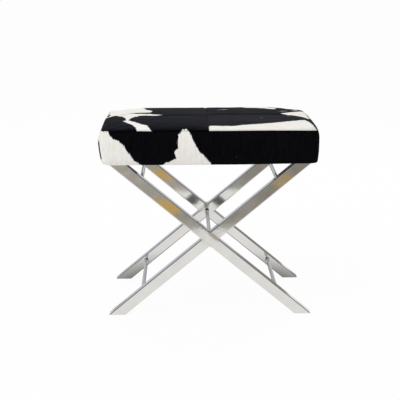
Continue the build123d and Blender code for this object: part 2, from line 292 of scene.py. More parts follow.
def corner_distance(x, y):
    """How far a point lies from the nearest corner of the top."""
    return np.hypot(SEAT_HALF_X - SEAM_DRAW - np.abs(x), SEAT_HALF_Y - SEAM_DRAW - np.abs(y))


def edge_fall(x, y):
    """How far the edge of the top has dropped at the rear corners."""
    return REAR_FALL * (y > 0) * bell(corner_distance(x, y), REAR_REACH)


def settled(points, inset):
    """The cushion's points after years of use. A layer inside the cover moves as the cover does."""
    x, y, z = points.T
    up = (z - HEM_Z) / (SEAM_Z - HEM_Z)
    free = HEM_FREE_SHARE + (1 - HEM_FREE_SHARE) * smooth_step(up, 0, HELD_HEIGHT_SHARE)
    between = 1 - np.clip(np.abs(y) / SEAT_HALF_Y, 0, 1) ** 2
    bulge = bell(up - BULGE_PLACE_SHARE, BULGE_REACH_SHARE)
    to_right = smooth_step(x, SIDE_START_SHARE * SEAT_HALF_X, SEAT_HALF_X)
    to_left = smooth_step(-x, SIDE_START_SHARE * SEAT_HALF_X, SEAT_HALF_X)
    moved_x = x + to_right * free * RIGHT_BOW * between
    moved_x -= to_left * free * (LEFT_LEAN + LEFT_BOW * between + LEFT_BULGE * bulge)

    # The rolled edge
    near_front = 1 - smooth_step(SEAT_HALF_Y - np.abs(y), *SAG_INSIDE_Y)
    near_side = 1 - smooth_step(SEAT_HALF_X - np.abs(x), *SAG_INSIDE_X)
    low = 1 - smooth_step(z - HEM_Z, 0, SAG_HEIGHT)
    less = 1 - RIGHT_SAG_LOSS * smooth_step(x, *RIGHT_SAG_SPAN)
    corner_start = SEAT_HALF_X - CORNER_SAG_REACH
    corner = 1 - CORNER_SAG_LOSS * smooth_step(np.abs(x), corner_start, SEAT_HALF_X)
    sag = BOTTOM_SAG * np.maximum(near_front, near_side) * low * less * corner

    # The corners and the seam across the top
    rise = z + inset - SEAM_Z
    on_top = smooth_step(rise, 0, TOP_RISE)
    sag = sag + CORNER_FALL * on_top * bell(corner_distance(x, y), CORNER_REACH)
    sag = sag + edge_fall(x, y) * smooth_step(rise, *REAR_FALL_SPAN)
    drift = SEAM_DRIFT * bell(y - SEAM_Y, DRIFT_REACH) * smooth_step(x, DRIFT_START, 0) * on_top
    return np.stack([moved_x, y + drift, z - sag], -1)


def cross_seam(x):
    """Where the seam across the top runs, from the front to the back."""
    return SEAM_Y + SEAM_DRIFT * smooth_step(x, DRIFT_START, 0)


PANELS = (
    "top_front_left",
    "top_front_right",
    "top_rear_left",
    "top_rear_right",
    "band_front",
    "band_right",
    "band_rear",
    "band_left",
)
FRONT, RIGHT, REAR, LEFT = 4, 5, 6, 7


def cushion(inset=0.0, coarse=COARSE_STEP):
    """Points, faces, panel numbers and pinned points of the cushion's whole skin."""
    half_x, half_y = SEAT_HALF_X - inset, SEAT_HALF_Y - inset
    top_half_x, top_half_y = half_x - SEAM_DRAW, half_y - SEAM_DRAW
    radius = max(CORNER_RADIUS - inset, LEAST_RADIUS)
    seam_z, bottom_z = SEAM_Z - inset, HEM_Z + inset
    xs = np.concatenate([spaced(-top_half_x, SEAM_X, coarse), spaced(SEAM_X, top_half_x, coarse)[1:]])
    ys = np.concatenate([spaced(-top_half_y, SEAM_Y, coarse), spaced(SEAM_Y, top_half_y, coarse)[1:]])
    nx, ny = len(xs), len(ys)
    grid_x, grid_y = np.meshgrid(xs, ys)
    top_x, top_y = rounded(grid_x, grid_y, top_half_x, top_half_y, radius)
    top_z = seam_z + crown_rise(top_x, top_y, top_half_x, top_half_y, radius)
    points = [np.stack([top_x, top_y, top_z], -1).reshape(-1, 3)]
    faces, panels = [], []
    seam_i = int(np.argmin(np.abs(xs - SEAM_X)))
    seam_j = int(np.argmin(np.abs(ys - SEAM_Y)))
    for j in range(ny - 1):
        for i in range(nx - 1):
            a = j * nx + i
            faces.append((a, a + 1, a + 1 + nx, a + nx))
            panels.append((0 if j < seam_j else 2) + (0 if i < seam_i else 1))
    pinned = {j * nx + seam_i for j in range(ny)} | {seam_j * nx + i for i in range(nx)}

    # The border of the top, in order round the seat, and which side each step of it is on
    border = [(i, 0) for i in range(nx)] + [(nx - 1, j) for j in range(1, ny)]
    border += [(i, ny - 1) for i in range(nx - 2, -1, -1)] + [(0, j) for j in range(ny - 2, 0, -1)]
    side = [FRONT] * (nx - 1) + [RIGHT] * (ny - 1) + [REAR] * (nx - 1) + [LEFT] * (ny - 1)
    ring = np.array([j * nx + i for i, j in border])
    ring_x = np.array([xs[i] for i, j in border]) / top_half_x
    ring_y = np.array([ys[j] for i, j in border]) / top_half_y
    corners = {0, nx - 1, nx + ny - 2, 2 * nx + ny - 3}
    pinned |= set(ring.tolist())
    total = nx * ny

    def add_ring(in_x, in_y, z, ring_radius, pin):
        nonlocal ring, total
        rx, ry = rounded(ring_x * in_x, ring_y * in_y, in_x, in_y, ring_radius)
        points.append(np.stack([rx, ry, np.full(len(rx), z)], -1))
        count = len(rx)
        new_ring = np.arange(total, total + count)
        total += count
        for k in range(count):
            after = (k + 1) % count
            faces.append((ring[after], ring[k], new_ring[k], new_ring[after]))
            panels.append(side[k])
        pinned.update(new_ring.tolist() if pin else [new_ring[k] for k in corners])
        ring = new_ring

    for z in spaced(bottom_z, seam_z, BAND_STEP)[::-1][1:]:
        draw = band_draw((z - bottom_z) / (seam_z - bottom_z))
        add_ring(half_x - draw, half_y - draw, z, radius, z == bottom_z)
    bottom_draw = band_draw(0.0)
    for way_in in np.linspace(0, HEM_WIDTH - inset - bottom_draw, HEM_RINGS + 1)[1:]:
        ring_radius = max(radius - way_in, LEAST_HEM_RADIUS)
        in_x, in_y = half_x - bottom_draw - way_in, half_y - bottom_draw - way_in
        add_ring(in_x, in_y, bottom_z, ring_radius, True)
    return settled(np.concatenate(points), inset), faces, np.array(panels), sorted(pinned)


def puff(obj, pinned):
    """Blows the skin out with Cloth between its seams, and caps how far each point moves."""
    start = points_of(obj.data)
    group = obj.vertex_groups.new(name="seams")
    group.add([int(i) for i in pinned], 1.0, "REPLACE")
    cloth = obj.modifiers.new("puff", "CLOTH")
    for key, value in PUFF_SETTINGS.items():
        setattr(cloth.settings, key, value)
    cloth.settings.effector_weights.gravity = 0
    cloth.settings.vertex_group_mass = "seams"
    cloth.point_cache.frame_start = 1
    cloth.point_cache.frame_end = PUFF_FRAMES
    scene = bpy.context.scene
    for number in range(1, PUFF_FRAMES + 1):
        scene.frame_set(number)
    evaluated = obj.evaluated_get(bpy.context.evaluated_depsgraph_get())
    moved = points_of(evaluated.data)
    obj.modifiers.remove(cloth)
    scene.frame_set(1)
    way = moved - start
    length = np.linalg.norm(way, axis=1, keepdims=True)
    keep = PUFF_CAP * np.tanh(length / PUFF_CAP) / np.maximum(length, 1e-9)
    set_points(obj.data, start + way * keep)
    obj.vertex_groups.clear()


def relief(points):
    """How far the hide stands out: low waves in the stuffing, less the valleys along the seams, the
    dimple where they cross and the tucks at the corners."""
    x, y, z = points.T
    above = np.clip((z - HEM_Z) / HEM_FLAT, 0, 1)
    soft = sum(waves(points, size, seed) * height for size, seed, height in STUFFING_WAVES)
    on_top = np.clip((z + edge_fall(x, y) - SEAM_Z) / TOP_BLEND, 0, 1)
    valley = (bell(x - SEAM_X, VALLEY_REACH) + bell(y - cross_seam(x), VALLEY_REACH)) * on_top
    dimple = bell(np.hypot(x - SEAM_X, y - SEAM_Y), DIMPLE_REACH) * on_top
    past_x = np.abs(x) - (SEAT_HALF_X - CORNER_RADIUS)
    past_y = np.abs(y) - (SEAT_HALF_Y - CORNER_RADIUS)
    near_corner = (past_x > -TUCK_START) & (past_y > -TUCK_START)
    tuck = bell(past_x - past_y, TUCK_REACH) * near_corner * (1 - on_top) * above
    sunk = VALLEY_DEPTH * np.minimum(valley, 1.0) + DIMPLE_DEPTH * dimple + TUCK_DEPTH * tuck
    return soft * above - sunk


# The hide's markings. Each outline is white hair on black, in mm: X and Y on the top, the way
# along and the height over the floor on the band.
WHITE = {
    "top_front_left": [
        [(-244, 30), (-240, 8), (-232, -19), (-224, -50), (-222, -72), (-229, -93), (-216, -127),
         (-205, -153), (-195, -181), (-189, -203), (-186, -216), (-149, -216), (-154, -200),
         (-159, -180), (-166, -166), (-178, -149), (-189, -130), (-200, -110), (-211, -88),
         (-215, -74), (-213, -54), (-208, -38), (-201, -16), (-197, 30)],
        [(-77, -216), (-73, -208), (-69, -204), (-66, -207), (-63, -201), (-59, -206), (-54, -216)],
    ],
    "top_rear_left": [
        [(-300, -14), (-300, 230), (-200, 230), (-188, 190), (-181, 165), (-172, 116), (-154, 84),
         (-161, 63), (-190, 60), (-215, 57), (-240, 55), (-215, 50), (-195, 46), (-161, 39),
         (-126, 26), (-140, 16), (-173, 20), (-190, 17), (-203, -10), (-238, -10), (-244, 9),
         (-252, 15), (-263, 13), (-274, -2)],
    ],
    "top_front_right": [
        [(-12, -168), (-4, -170), (24, -178), (58, -181), (82, -172), (104, -165), (135, -155),
         (166, -141), (198, -123), (222, -104), (246, -88), (257, -84), (266, -108), (271, -150),
         (274, -188), (277, -216), (-12, -216)],
        [(222, 30), (232, 14), (247, -13), (258, -30), (268, -52), (276, -40), (277, 30)],
    ],
    "top_rear_right": [
        [(202, 36), (222, 22), (236, 0), (277, 0), (277, 104), (266, 100), (258, 84), (246, 70),
         (232, 58), (214, 47)],
        [(104, 168), (112, 157), (146, 149), (167, 140), (187, 125), (202, 128), (196, 152),
         (176, 174), (150, 190), (120, 186)],
    ],
    "band_front": [
        [(-300, 520), (-261, 520), (-261, 502), (-258, 493), (-252, 488), (-245, 483), (-238, 482),
         (-231, 477), (-225, 471), (-218, 460), (-210, 447), (-201, 436), (-193, 426), (-184, 419),
         (-172, 413), (-172, 400), (-300, 400)],
        [(-76, 520), (-75, 502), (-81, 494), (-83, 478), (-85, 460), (-93, 450), (-89, 442),
         (-88, 433), (-99, 428), (-113, 422), (-121, 417), (-134, 411), (-134, 400), (14, 400),
         (10, 410), (2, 418), (-9, 429), (-21, 446), (-35, 463), (-43, 481), (-53, 498), (-58, 520)],
    ],
    "band_rear": [
        [(-300, 520), (-150, 520), (-146, 492), (-160, 470), (-188, 452), (-214, 440), (-232, 410),
         (-232, 400), (-300, 400)],
        [(40, 520), (52, 494), (74, 478), (92, 456), (88, 436), (104, 420), (110, 400), (214, 400),
         (206, 432), (186, 452), (170, 474), (150, 490), (128, 520)],
    ],
    "band_left": [
        [(230, 520), (196, 520), (188, 498), (196, 476), (182, 458), (190, 436), (178, 416),
         (176, 400), (230, 400)],
        [(-230, 520), (-190, 520), (-192, 492), (-203, 482), (-210, 474), (-230, 470)],
        [(-230, 432), (-208, 430), (-200, 418), (-192, 400), (-230, 400)],
    ],
    "band_right": [
        [(-60, 520), (-44, 498), (-20, 486), (4, 490), (26, 478), (58, 484), (84, 500), (92, 520)],
    ],
}
# Small marks where a few hairs are of the other colour: the middle, the half lengths and how far
# the middle lies inside the mark's colour
WHITE_HAIRS = {
    "band_front": [(63, 437, 10, 2, 0.3)],
    "top_rear_right": [(44, 112, 24, 9, 0.0), (216, 82, 26, 8, 0.6), (252, 122, 12, 14, 2.0)],
    "top_front_right": [(142, -51, 12, 6, -0.2)],
    "top_rear_left": [(-176, 200, 22, 8, 1.0)],
}
BLACK_HAIRS = {
    "top_rear_left": [(-276, 46, 5, 30, 3.0), (-232, 30, 16, 6, 0.5)],
    "top_rear_right": [(244, 98, 20, 4, 1.5), (238, 52, 16, 3, 1.0), (256, 30, 12, 3, 1.0)],
}
# The distance given where no white hair is near, and how fast a small mark fades, in mm
ALL_BLACK, MARK_FADE = -60.0, 4


def outline_distance(u, v, outline):
    """Signed distance to a closed outline, positive inside it."""
    corners = np.array(outline, float)
    ends = np.roll(corners, -1, axis=0)
    nearest = np.full(len(u), np.inf)
    crossings = np.zeros(len(u), int)
    for (ax, ay), (bx, by) in zip(corners, ends):
        dx, dy = bx - ax, by - ay
        along = np.clip(((u - ax) * dx + (v - ay) * dy) / (dx * dx + dy * dy), 0, 1)
        nearest = np.minimum(nearest, np.hypot(u - ax - along * dx, v - ay - along * dy))
        if ay != by:
            level = (ay > v) != (by > v)
            crossings += level & (u < ax + (v - ay) / dy * dx)
    return np.where(crossings % 2 == 1, nearest, -nearest)


def mark_distance(u, v, mark):
    """How far inside a small oval mark each point lies, in mm."""
    middle_u, middle_v, half_u, half_v, peak = mark
    reach = np.hypot((u - middle_u) / half_u, (v - middle_v) / half_v)
    return peak - MARK_FADE * reach**2


def white_distance(panel, points):
    """How far inside the white hair each point lies, in mm."""
    x, y, z = (points / MM).T
    if panel.startswith("top"):
        u, v = x, y
    elif panel in ("band_front", "band_rear"):
        u, v = x, z
    else:
        u, v = y, z
    distance = np.full(len(u), ALL_BLACK)
    for outline in WHITE.get(panel, []):
        distance = np.maximum(distance, outline_distance(u, v, outline))
    for mark in WHITE_HAIRS.get(panel, []):
        distance = np.maximum(distance, mark_distance(u, v, mark))
    for mark in BLACK_HAIRS.get(panel, []):
        distance = np.minimum(distance, -mark_distance(u, v, mark))
    return distance


def seam_shade(points):
    """1 down in a seam, 0 beside it."""
    x, y, z = points.T
    rise = z + edge_fall(x, y) - SEAM_Z
    across = np.minimum(np.abs(x - SEAM_X), np.abs(y - cross_seam(x)))
    top_seams = np.clip(1 - across / SEAM_SHADE, 0, 1) * (rise > SEAM_SHADE_RISE)
    edge_seam = np.clip(1 - np.abs(rise) / SEAM_SHADE, 0, 1)
    return np.maximum(top_seams, edge_seam)


# Materials


class Nodes:
    """A short way to write a tree of nodes."""

    def __init__(self, tree):
        self.tree = tree

    def fill(self, socket, value):
        """Sets a socket to a number, a colour or a vector, or links another one to it."""
        if isinstance(value, bpy.types.NodeSocket):
            self.tree.links.new(value, socket)
        else:
            socket.default_value = (*value, 1) if socket.type == "RGBA" else value

    def add(self, kind, inputs=(), **values):
        """Adds a node with its values. The inputs have names, or are the first ones in order."""
        node = self.tree.nodes.new(kind)
        for key, value in values.items():
            setattr(node, key, value)
        for key, value in inputs.items() if isinstance(inputs, dict) else enumerate(inputs):
            self.fill(node.inputs[key], value)
        return node

    def coordinates(self, space="Object"):
        return self.add("ShaderNodeTexCoord").outputs[space]

    def split(self, where):
        return self.add("ShaderNodeSeparateXYZ", (where,)).outputs

    def place(self, scale=(1, 1, 1), shift=(0, 0, 0)):
        inputs = {"Vector": self.coordinates(), "Scale": scale, "Location": shift}
        return self.add("ShaderNodeMapping", inputs).outputs[0]

    def noise(self, scale, detail=2.0, rough=0.5, twist=0.0, where=None):
        """Noise, with scale in waves to the metre."""
        where = self.place() if where is None else where
        names = ("Vector", "Scale", "Detail", "Roughness", "Distortion")
        inputs = dict(zip(names, (where, scale, detail, rough, twist)))
        return self.add("ShaderNodeTexNoise", inputs).outputs[0]

    def math(self, operation, *values):
        return self.add("ShaderNodeMath", values, operation=operation).outputs[0]

    def plus(self, a, b):
        return self.math("ADD", a, b)

    def minus(self, a, b):
        return self.math("SUBTRACT", a, b)

    def times(self, a, b):
        return self.math("MULTIPLY", a, b)

    def length(self, a, b):
        return self.math("SQRT", self.plus(self.times(a, a), self.times(b, b)))

    def spread(self, value, low, high, new_low=0.0, new_high=1.0, smooth=False):
        """Takes low to new_low and high to new_high, and holds what lies beyond them."""
        kind = "SMOOTHSTEP" if smooth else "LINEAR"
        inputs = (value, low, high, new_low, new_high)
        return self.add("ShaderNodeMapRange", inputs, interpolation_type=kind).outputs[0]

    def vary(self, noise, low=0.0, high=1.0):
        """Takes a noise, which lies mostly between these shares, to low and high."""
        return self.spread(noise, 0.3, 0.7, low, high)

    def blend(self, factor, first, second):
        """A colour between two. The node keeps its colours in inputs 6 and 7."""
        return self.add("ShaderNodeMix", {0: factor, 6: first, 7: second}, data_type="RGBA").outputs[2]

    def bump(self, height, strength, distance, normal=None):
        inputs = {"Strength": strength, "Distance": distance, "Height": height}
        if normal is not None:
            inputs["Normal"] = normal
        return self.add("ShaderNodeBump", inputs).outputs[0]

    def mix(self, *inputs):
        return self.add("ShaderNodeMixShader", inputs).outputs[0]


class Material(Nodes):
    """The nodes of a new material."""

    def __init__(self, name):
        self.material = bpy.data.materials.new(name)
        self.material.use_nodes = True
        super().__init__(self.material.node_tree)
        self.tree.nodes.clear()

    def end(self, shader):
        self.add("ShaderNodeOutputMaterial", {"Surface": shader})
        return self.material

    def surface(self, **values):
        """Ends in one shader with these inputs."""
        inputs = {key.replace("_", " "): value for key, value in values.items()}
        return self.end(self.add("ShaderNodeBsdfPrincipled", inputs).outputs[0])


# Black hair, with a brown cast in places and a blue-grey sheen painted on some locks
COAL, BROWN, PAINTED_SHEEN = (0.0022, 0.0022, 0.0030), (0.0085, 0.0055, 0.0058), (0.0120, 0.0120, 0.0155)
# White hair, a little cream at the roots, warm in places, with a few grey fibres
CREAM, IVORY = (0.80, 0.77, 0.715), (0.90, 0.885, 0.85)
WARM, GREY_FIBRE = (0.85, 0.81, 0.745), (0.58, 0.57, 0.56)
# White hairs over black skin, the painted shade down in a seam, and the light on the tips
SMOKE, SEAM_SHADOW_COLOUR, HAIR_SHEEN = (0.22, 0.23, 0.26), (0.0006, 0.0006, 0.0008), (0.72, 0.78, 1.0)
# How many of each there are to the metre, and how each hide's noise is shifted for its number
FIBRES, LOCKS, TUFTS, PATCHES = 900, 260, 55, 9
HIDE_SHIFT = (3.1, 1.7, 2.3)


def hide_material(name, across, number, gloss, painted_gleam):
    """Hair-on cowhide. across scales the fibre noise, so that hair runs along the small number, and
    the last argument scales the brown cast and the painted sheen in the black hair's colour, painted
    light that makes the top hides lighter than the band."""
    look = Material(name)
    shift = tuple(number * step for step in HIDE_SHIFT)
    half_across = tuple(math.sqrt(part) for part in across)
    fibres = look.noise(FIBRES, 3, 0.6, where=look.place(across, shift))
    locks = look.noise(LOCKS, 3, 0.6, 0.4, look.place(across, shift))
    tufts = look.noise(TUFTS, 2, 0.5, 0.6, look.place(half_across, shift))
    patches = look.noise(PATCHES, where=look.place(shift=shift))

    # The edge between the colours is ragged, by these lengths in mm
    white = look.add("ShaderNodeAttribute", attribute_name="white").outputs["Fac"]
    ragged = look.plus(look.vary(fibres, -1.2, 1.2), look.vary(locks, -1.9, 1.9))
    ragged = look.plus(ragged, look.vary(tufts, -1.8, 1.8))
    edge = look.plus(white, ragged)

    # Painted light: the brown cast and the blue-grey painted sheen, both scaled by each hide's strength
    # of it
    brown_and_gleam = tuple(painted_gleam * part for part in BROWN)
    painted_sheen = tuple(painted_gleam * part for part in PAINTED_SHEEN)
    black = look.blend(look.spread(patches, 0.45, 0.72), COAL, brown_and_gleam)
    black = look.blend(look.spread(locks, 0.42, 0.8), black, painted_sheen)
    pale = look.blend(look.spread(locks, 0.28, 0.62), CREAM, IVORY)
    pale = look.blend(look.spread(patches, 0.40, 0.70, 0.0, 0.6), pale, WARM)
    pale = look.blend(look.spread(fibres, 0.64, 0.80, 0.0, 0.3), pale, GREY_FIBRE)
    smoky = look.blend(look.spread(edge, -0.8, 0.5, smooth=True), black, SMOKE)
    hair = look.blend(look.spread(edge, 0.1, 1.5, smooth=True), smoky, pale)

    # Shade is painted into the colour down in a seam, where less light reaches the roots of the hair,
    # and painted darkest in black hair
    seam = look.add("ShaderNodeAttribute", attribute_name="seam").outputs["Fac"]
    seam_shadow = look.times(look.spread(seam, 0.1, 0.8), look.spread(edge, 0.0, 1.5, 0.95, 0.22))
    lay = look.bump(look.plus(look.times(fibres, 0.35), locks), 0.5, 0.5 * MM)
    return look.surface(
        Base_Color=look.blend(seam_shadow, hair, SEAM_SHADOW_COLOUR),
        Roughness=look.vary(locks, 0.46, 0.62),
        Specular_IOR_Level=gloss,
        Sheen_Weight=0.02,
        Sheen_Roughness=0.5,
        Sheen_Tint=HAIR_SHEEN,
        Normal=look.bump(tufts, 0.35, 0.9 * MM, lay),
    )


STEEL_PALE, STEEL_GREY, SMEAR_REFLECTION = (0.80, 0.79, 0.77), (0.74, 0.73, 0.71), (0.44, 0.395, 0.34)
# Round the crossing the metal is ground by hand: how far that reaches, its roughness and height
GROUND_SPAN, GROUND_ROUGH, GROUND_HEIGHT = (20 * MM, 75 * MM), 0.04, 0.4 * MM
# Grinding left a shallow hollow along each butt joint, deepest on the upper one, with a brown-grey
# smear painted into the colour as a painted reflection in the hollow: the joint's place over the whole
# bar, the hollow's depth and the strength of the smear
JOINTS = ((TUBE_HALF, 0.16 * MM, 0.9), (-TUBE_HALF, 0.04 * MM, 0.15))
JOINT_ENDS, HOLLOW_WIDTH = (12 * MM, 24 * MM), 9 * MM
WORN_HEIGHT = 0.06 * MM


def steel_material():
    look = Material("polished_steel")
    worn = look.noise(14, 3, 0.6)
    smear = look.noise(60, 2, 0.5, 0.8)
    lines = look.noise(1100)
    ripple = look.noise(34, 2, 0.5, 0.5)
    x, y, z = look.split(look.coordinates())
    up = look.minus(z, CROSSING_Z)
    near = look.spread(look.length(x, up), *GROUND_SPAN, 1.0, 0.0, smooth=True)
    polish = look.plus(look.vary(smear, 0.028, 0.075), look.vary(lines, 0.0, 0.02))
    uneven = look.times(look.times(ripple, near), GROUND_HEIGHT)

    # The rear X is the front one turned half round
    side_x = look.times(x, look.times(look.math("SIGN", y), -1.0))
    sine, cosine = math.sin(LEAN), math.cos(LEAN)
    over = look.plus(look.times(side_x, sine), look.times(up, cosine))
    along = look.minus(look.times(up, sine), look.times(side_x, cosine))
    within = look.spread(look.math("ABSOLUTE", along), *JOINT_ENDS, 1.0, 0.0, smooth=True)
    colour = look.blend(look.spread(worn, 0.35, 0.7), STEEL_PALE, STEEL_GREY)
    for joint, depth, smear_strength in JOINTS:
        off = look.math("ABSOLUTE", look.minus(over, joint))
        hollow = look.times(look.spread(off, 0.0, HOLLOW_WIDTH, 1.0, 0.0, smooth=True), within)
        uneven = look.minus(uneven, look.times(hollow, depth))
        # The smear is a painted reflection, a darker brown-grey along the hollow
        painted_smear = look.times(hollow, look.spread(smear, 0.36, 0.58, 0.25 * smear_strength, smear_strength))
        colour = look.blend(painted_smear, colour, SMEAR_REFLECTION)
    height = look.plus(uneven, look.times(worn, WORN_HEIGHT))
    return look.surface(
        Base_Color=colour,
        Metallic=1.0,
        Roughness=look.plus(polish, look.times(near, GROUND_ROUGH)),
        Normal=look.bump(height, 1.0, 1.0),
    )


def zinc_material():
    look = Material("zinc_steel")
    dull, bright = (0.55, 0.56, 0.58), (0.68, 0.69, 0.70)
    cloudy = look.noise(120, 3, 0.6)
    return look.surface(
        Base_Color=look.blend(look.vary(cloudy), dull, bright),
        Metallic=1.0,
        Roughness=look.vary(cloudy, 0.24, 0.42),
        Normal=look.bump(look.noise(1500), 0.2, 0.05 * MM),
    )


def nylon_material():
    look = Material("nylon")
    dark, light = (0.018, 0.018, 0.018), (0.035, 0.035, 0.034)
    grain = look.noise(900, 3, 0.6)
    return look.surface(
        Base_Color=look.blend(grain, dark, light),
        Roughness=look.vary(grain, 0.5, 0.7),
        Specular_IOR_Level=0.4,
        Normal=look.bump(grain, 0.3, 0.05 * MM),
    )


def plywood_material():
    look = Material("plywood")
    dark, light, glue = (0.48, 0.32, 0.18), (0.66, 0.48, 0.30), (0.30, 0.18, 0.09)
    grain = look.noise(12, 4, 0.6, 0.3, look.place((4, 60, 60)))
    inputs = {"Scale": 105, "Distortion": 0.4, "Vector": look.place()}
    plies = look.add("ShaderNodeTexWave", inputs, bands_direction="Z").outputs["Fac"]
    return look.surface(
        Base_Color=look.blend(look.times(plies, 0.35), look.blend(look.vary(grain), dark, light), glue),
        Roughness=look.vary(grain, 0.55, 0.75),
        Specular_IOR_Level=0.3,
        Normal=look.bump(grain, 0.4, 0.2 * MM),
    )


def foam_material():
    look = Material("foam")
    # The hollows of the foam's cells are painted darker than their walls, as painted shade
    skin, hollow = (0.82, 0.74, 0.50), (0.60, 0.52, 0.32)
    inputs = {"Scale": 700, "Vector": look.place()}
    cells = look.add("ShaderNodeTexVoronoi", inputs, feature="DISTANCE_TO_EDGE")
    walls = look.spread(cells.outputs["Distance"], 0.0, 0.25)
    return look.surface(
        Base_Color=look.blend(walls, skin, hollow),
        Roughness=0.9,
        Specular_IOR_Level=0.2,
        Normal=look.bump(walls, 0.6, 0.4 * MM),
    )


def wadding_material():
    look = Material("wadding")
    dull, bright = (0.80, 0.80, 0.79), (0.92, 0.92, 0.91)
    fluff = look.noise(90, 4, 0.7, 1.5)
    return look.surface(
        Base_Color=look.blend(look.vary(fluff), dull, bright),
        Roughness=0.95,
        Specular_IOR_Level=0.2,
        Sheen_Weight=0.3,
        Normal=look.bump(fluff, 0.7, 1.2 * MM),
    )


def cloth_material():
    look = Material("dust_cloth")
    black, grey = (0.008, 0.008, 0.008), (0.028, 0.028, 0.028)
    fibres = look.noise(420, 4, 0.7, 1.8)
    inputs = {"Scale": 620, "Randomness": 0.15, "Vector": look.place()}
    dots = look.spread(look.add("ShaderNodeTexVoronoi", inputs).outputs["Distance"], 0.0, 0.5)
    return look.surface(
        Base_Color=look.blend(look.vary(fibres), black, grey),
        Roughness=look.vary(fibres, 0.75, 0.95),
        Specular_IOR_Level=0.25,
        Sheen_Weight=0.15,
        Normal=look.bump(look.plus(dots, fibres), 0.5, 0.12 * MM),
    )


# Hair runs along X on the top and down the band
ALONG_X = (0.16, 1.0, 1.0)
DOWN = (1.0, 1.0, 0.14)
# Each hide's gloss, and the strength of the light painted into its black hair's colour; the band's is
# lower, painting its upright sides darker
HAIR = {
    "top_front_left": (0.010, 0.9),
    "top_front_right": (0.024, 1.1),
    "top_rear_left": (0.022, 1.0),
    "top_rear_right": (0.014, 1.0),
}
BAND_HAIR = (0.006, 0.4)
HIDES = {}
for number, panel in enumerate(PANELS):
    across = ALONG_X if panel in HAIR else DOWN
    HIDES[panel] = hide_material(f"cowhide_{panel}", across, number, *HAIR.get(panel, BAND_HAIR))
CAD_MATERIALS = {
    "polished_steel": steel_material(),
    "zinc_steel": zinc_material(),
    "nylon": nylon_material(),
    "plywood": plywood_material(),
    "foam": foam_material(),
    "wadding": wadding_material(),
    "dust_cloth": cloth_material(),
    "cowhide": HIDES["top_front_left"],
}
for part in frame["record"]["subparts"]:
    mesh = nodes[part["node"]].data
    mesh.materials.clear()
    mesh.materials.append(CAD_MATERIALS[part["material_slot"]])


# Pieces


def cut_panel(skin, panel):
    """One sewn hide, cut out of the whole skin."""
    piece = add_object(f"hide_{panel}", skin.data.copy())
    edit = bmesh.new()
    edit.from_mesh(piece.data)
    numbers = edit.faces.layers.int["panel"]
    gone = [face for face in edit.faces if face[numbers] != PANELS.index(panel)]
    bmesh.ops.delete(edit, geom=gone, context="FACES")
    edit.to_mesh(piece.data)
    edit.free()
    thicken(piece, HIDE_THICKNESS)
    points = points_of(piece.data)
    white = white_distance(panel, points).astype(np.float32)
    set_attribute(piece.data, "white", "FLOAT", "POINT", white)
    set_attribute(piece.data, "seam", "FLOAT", "POINT", seam_shade(points).astype(np.float32))
    piece.data.materials.clear()
    piece.data.materials.append(HIDES[panel])
    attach(piece, "root")
    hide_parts(panel)


def build_cover():
    """The hide cover: one skin, blown out and given its relief, then cut into eight hides."""
    points, faces, panels, pinned = cushion()
    skin = new_object("hide_skin", points, faces)
    puff(skin, pinned)
    set_attribute(skin.data, "panel", "INT", "FACE", panels.astype(np.int32))
    smooth = skin.modifiers.new("smooth", "SUBSURF")
    smooth.levels = smooth.render_levels = 1
    smooth.boundary_smooth = "PRESERVE_CORNERS"
    apply_modifiers(skin)
    points = points_of(skin.data)
    normals = vectors(skin.data.vertex_normals, "vector")
    set_points(skin.data, points + normals * relief(points)[:, None])
    for panel in PANELS:
        cut_panel(skin, panel)
    bpy.data.objects.remove(skin)


def layer_on_board(inset):
    """The cushion's skin drawn in, with the points under the board's top lifted onto it."""
    points, faces, *_ = cushion(inset, LAYER_STEP)
    below = points[:, 2] < BOARD_TOP
    points[below, 2] = BOARD_TOP
    return points, faces, below


def build_layers():
    """The fibre wadding and the foam pad under the hide."""
    points, faces, below = layer_on_board(WADDING_INSET)
    open_faces = [face for face in faces if not all(below[list(face)])]
    wadding = new_object("wadding_wrap", points, open_faces)
    thicken(wadding, WADDING_THICKNESS)
    points, faces, below = layer_on_board(FOAM_INSET)
    foam = new_object("foam_block", points, faces)
    edit = bmesh.new()
    edit.from_mesh(foam.data)
    bmesh.ops.holes_fill(edit, edges=[edge for edge in edit.edges if edge.is_boundary], sides=0)
    bmesh.ops.remove_doubles(edit, verts=edit.verts, dist=0.01 * MM)
    edit.to_mesh(foam.data)
    edit.free()
    for piece, node, slot in ((wadding, "wadding", "wadding"), (foam, "foam_pad", "foam")):
        piece.data.materials.append(CAD_MATERIALS[slot])
        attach(piece, "root")
        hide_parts(node)


